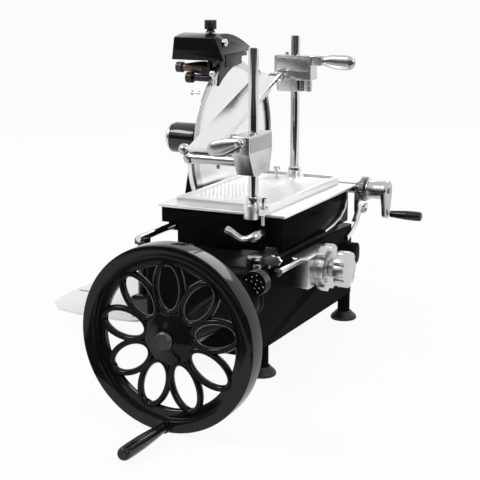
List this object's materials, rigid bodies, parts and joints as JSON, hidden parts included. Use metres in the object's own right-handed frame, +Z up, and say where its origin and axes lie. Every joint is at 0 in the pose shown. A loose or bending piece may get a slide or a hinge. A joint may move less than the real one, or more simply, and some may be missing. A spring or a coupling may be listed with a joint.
{
  "type": "hand crank meat slicer",
  "caption": "Black hand crank meat slicer with a spoked flywheel, round steel blade, sliding carriage and spiked table",
  "frame": {"origin": "centre of the foot bolt pattern on the ground plane", "axes": "+X toward the thickness knob side, blade on the -X side; +Y from the flywheel toward the back; +Z up"},
  "size_m": [0.689, 1.1238, 0.621],
  "materials": {
    "black_enamel": "glossy black enamel on cast metal",
    "bare_steel": "ground and lightly brushed steel",
    "chrome": "polished chrome",
    "blade_steel": "ground blade steel with a polished bevel",
    "inner_steel": "machined steel",
    "black_plastic": "smooth black moulded grip",
    "feet_rubber": "dark rubber",
    "grey_aluminium": "satin cast aluminium",
    "dark_casting": "dark oiled iron"
  },
  "bodies": {
    "base": {"rubber_feet": "feet_rubber", "base_casting": "black_enamel", "base_cover": "black_enamel", "bearing_housing": "black_enamel", "rail_front_post": "black_enamel", "rail_rear_bracket": "black_enamel", "guide_rail": "chrome", "roller_track": "inner_steel", "oiler_cap": "bare_steel", "blade_column": "black_enamel", "column_cover": "black_enamel", "hub_drum": "black_enamel", "hub_cap": "chrome", "blade_guard": "black_enamel", "edge_guard": "bare_steel", "slice_tray": "bare_steel", "tray_bars": "bare_steel", "drive_chain": "inner_steel", "sharpener_bracket": "dark_casting", "dial_block": "grey_aluminium", "dial_flange": "grey_aluminium", "adjuster_rod": "chrome"},
    "drive_wheel": {"flywheel": "black_enamel", "main_shaft": "inner_steel", "handle_spindle": "bare_steel"},
    "wheel_grip": {"flywheel_grip": "black_plastic"},
    "second_shaft": {"lay_shaft": "inner_steel"},
    "across_shaft": {"cross_shaft": "inner_steel"},
    "cutting_blade": {"blade": "blade_steel", "blade_shaft": "inner_steel"},
    "carriage": {"carriage_frame": "black_enamel", "carriage_sheet": "bare_steel", "trip_strips": "chrome", "feed_housing": "black_enamel"},
    "roller_front": {"front_roller": "inner_steel"},
    "roller_rear": {"rear_roller": "inner_steel"},
    "release": {"release_handle": "bare_steel"},
    "table": {"meat_table": "bare_steel", "front_post": "chrome", "rear_post": "chrome", "post_collars": "bare_steel", "stop_pins": "chrome"},
    "clamp_front": {"front_clamp": "grey_aluminium", "front_arm": "chrome"},
    "lever_front": {"front_lever": "bare_steel"},
    "clamp_rear": {"rear_clamp": "grey_aluminium", "rear_clamp_screws": "bare_steel"},
    "lever_rear": {"rear_lever": "bare_steel"},
    "press": {"press_plate": "bare_steel"},
    "feed": {"feed_screw": "inner_steel", "ratchet_gear": "inner_steel", "feed_crank": "bare_steel"},
    "feed_handle": {"feed_grip": "black_plastic"},
    "pawl": {"feed_pawl": "bare_steel"},
    "sharpener": {"sharpener_cover": "black_enamel", "cover_screw": "chrome"},
    "cover_nut": {"top_knob": "inner_steel"},
    "truing_stone": {"truing_spindle": "dark_casting"},
    "honing_stone": {"honing_spindle": "dark_casting"},
    "thickness_dial": {"thickness_knob": "grey_aluminium"}
  },
  "joints": [
    {"name": "flywheel_spin", "type": "hinge", "parent": "base", "child": "drive_wheel", "pos_m": [0.084, -0.5, 0.16], "axis": [0, 1, 0], "continuous": true},
    {"name": "wheel_grip_spin", "type": "hinge", "parent": "drive_wheel", "child": "wheel_grip", "pos_m": [0.084, -0.615, 0.016], "axis": [0, 1, 0], "continuous": true},
    {"name": "second_shaft_spin", "type": "hinge", "parent": "base", "child": "second_shaft", "pos_m": [0.022, -0.1, 0.15], "axis": [0, 1, 0], "continuous": true},
    {"name": "across_shaft_spin", "type": "hinge", "parent": "base", "child": "across_shaft", "pos_m": [-0.1, 0.19, 0.15], "axis": [1, 0, 0], "continuous": true},
    {"name": "blade_spin", "type": "hinge", "parent": "base", "child": "cutting_blade", "pos_m": [-0.19, 0.246, 0.357], "axis": [1, 0, 0], "continuous": true},
    {"name": "carriage_slide", "type": "slide", "parent": "base", "child": "carriage", "axis": [0, 1, 0], "range_m": [-0.085, 0.17]},
    {"name": "front_roller_spin", "type": "hinge", "parent": "carriage", "child": "roller_front", "pos_m": [0.067, -0.06, 0.2292], "axis": [1, 0, 0], "continuous": true},
    {"name": "rear_roller_spin", "type": "hinge", "parent": "carriage", "child": "roller_rear", "pos_m": [0.067, 0.05, 0.2292], "axis": [1, 0, 0], "continuous": true},
    {"name": "release_turn", "type": "hinge", "parent": "carriage", "child": "release", "pos_m": [0.053, -0.13, 0.246], "axis": [0, 1, 0], "range_deg": [-20, 25]},
    {"name": "table_feed", "type": "slide", "parent": "carriage", "child": "table", "axis": [1, 0, 0], "range_m": [-0.03, 0.03]},
    {"name": "rear_clamp_height", "type": "slide", "parent": "table", "child": "clamp_rear", "axis": [0, 0, 1], "range_m": [-0.03, 0.03]},
    {"name": "front_clamp_height", "type": "slide", "parent": "table", "child": "clamp_front", "axis": [0, 0, 1], "range_m": [-0.03, 0.03]},
    {"name": "front_lever_turn", "type": "hinge", "parent": "clamp_front", "child": "lever_front", "pos_m": [0.031, -0.167, 0.422], "axis": [0, 1, 0], "range_deg": [-20, 20]},
    {"name": "rear_lever_turn", "type": "hinge", "parent": "clamp_rear", "child": "lever_rear", "pos_m": [0.019, 0.236, 0.541], "axis": [0, 1, 0], "range_deg": [-20, 20]},
    {"name": "press_swing", "type": "hinge", "parent": "clamp_rear", "child": "press", "pos_m": [-0.068, 0.2, 0.506], "axis": [-1, 0, 0], "range_deg": [0, 60]},
    {"name": "feed_turn", "type": "hinge", "parent": "carriage", "child": "feed", "pos_m": [0.11, 0.276, 0.27], "axis": [1, 0, 0], "continuous": true},
    {"name": "feed_grip_spin", "type": "hinge", "parent": "feed", "child": "feed_handle", "pos_m": [0.2, 0.276, 0.221], "axis": [1, 0, 0], "continuous": true},
    {"name": "pawl_turn", "type": "hinge", "parent": "carriage", "child": "pawl", "pos_m": [0.111, 0.272, 0.226], "axis": [1, 0, 0], "range_deg": [-15, 0]},
    {"name": "sharpener_lift", "type": "slide", "parent": "base", "child": "sharpener", "axis": [0, 0, 1], "range_m": [0, 0.04]},
    {"name": "cover_nut_turn", "type": "hinge", "parent": "sharpener", "child": "cover_nut", "pos_m": [-0.222, 0.206, 0.6], "axis": [0, 0, 1], "continuous": true},
    {"name": "truing_push", "type": "slide", "parent": "base", "child": "truing_stone", "axis": [1, 0, 0], "range_m": [-0.006, 0.001]},
    {"name": "honing_push", "type": "slide", "parent": "base", "child": "honing_stone", "axis": [1, 0, 0], "range_m": [-0.006, 0.001]},
    {"name": "thickness_turn", "type": "hinge", "parent": "base", "child": "thickness_dial", "pos_m": [0.19, -0.031, 0.172], "axis": [1, 0, 0], "range_deg": [-150, 150]}
  ],
  "couplings": [
    {"joint": "second_shaft_spin", "follows": "flywheel_spin", "ratio": -0.9146},
    {"joint": "across_shaft_spin", "follows": "flywheel_spin", "ratio": -0.9146},
    {"joint": "blade_spin", "follows": "flywheel_spin", "ratio": -1.2516},
    {"joint": "front_clamp_height", "follows": "rear_clamp_height", "ratio": 1}
  ]
}
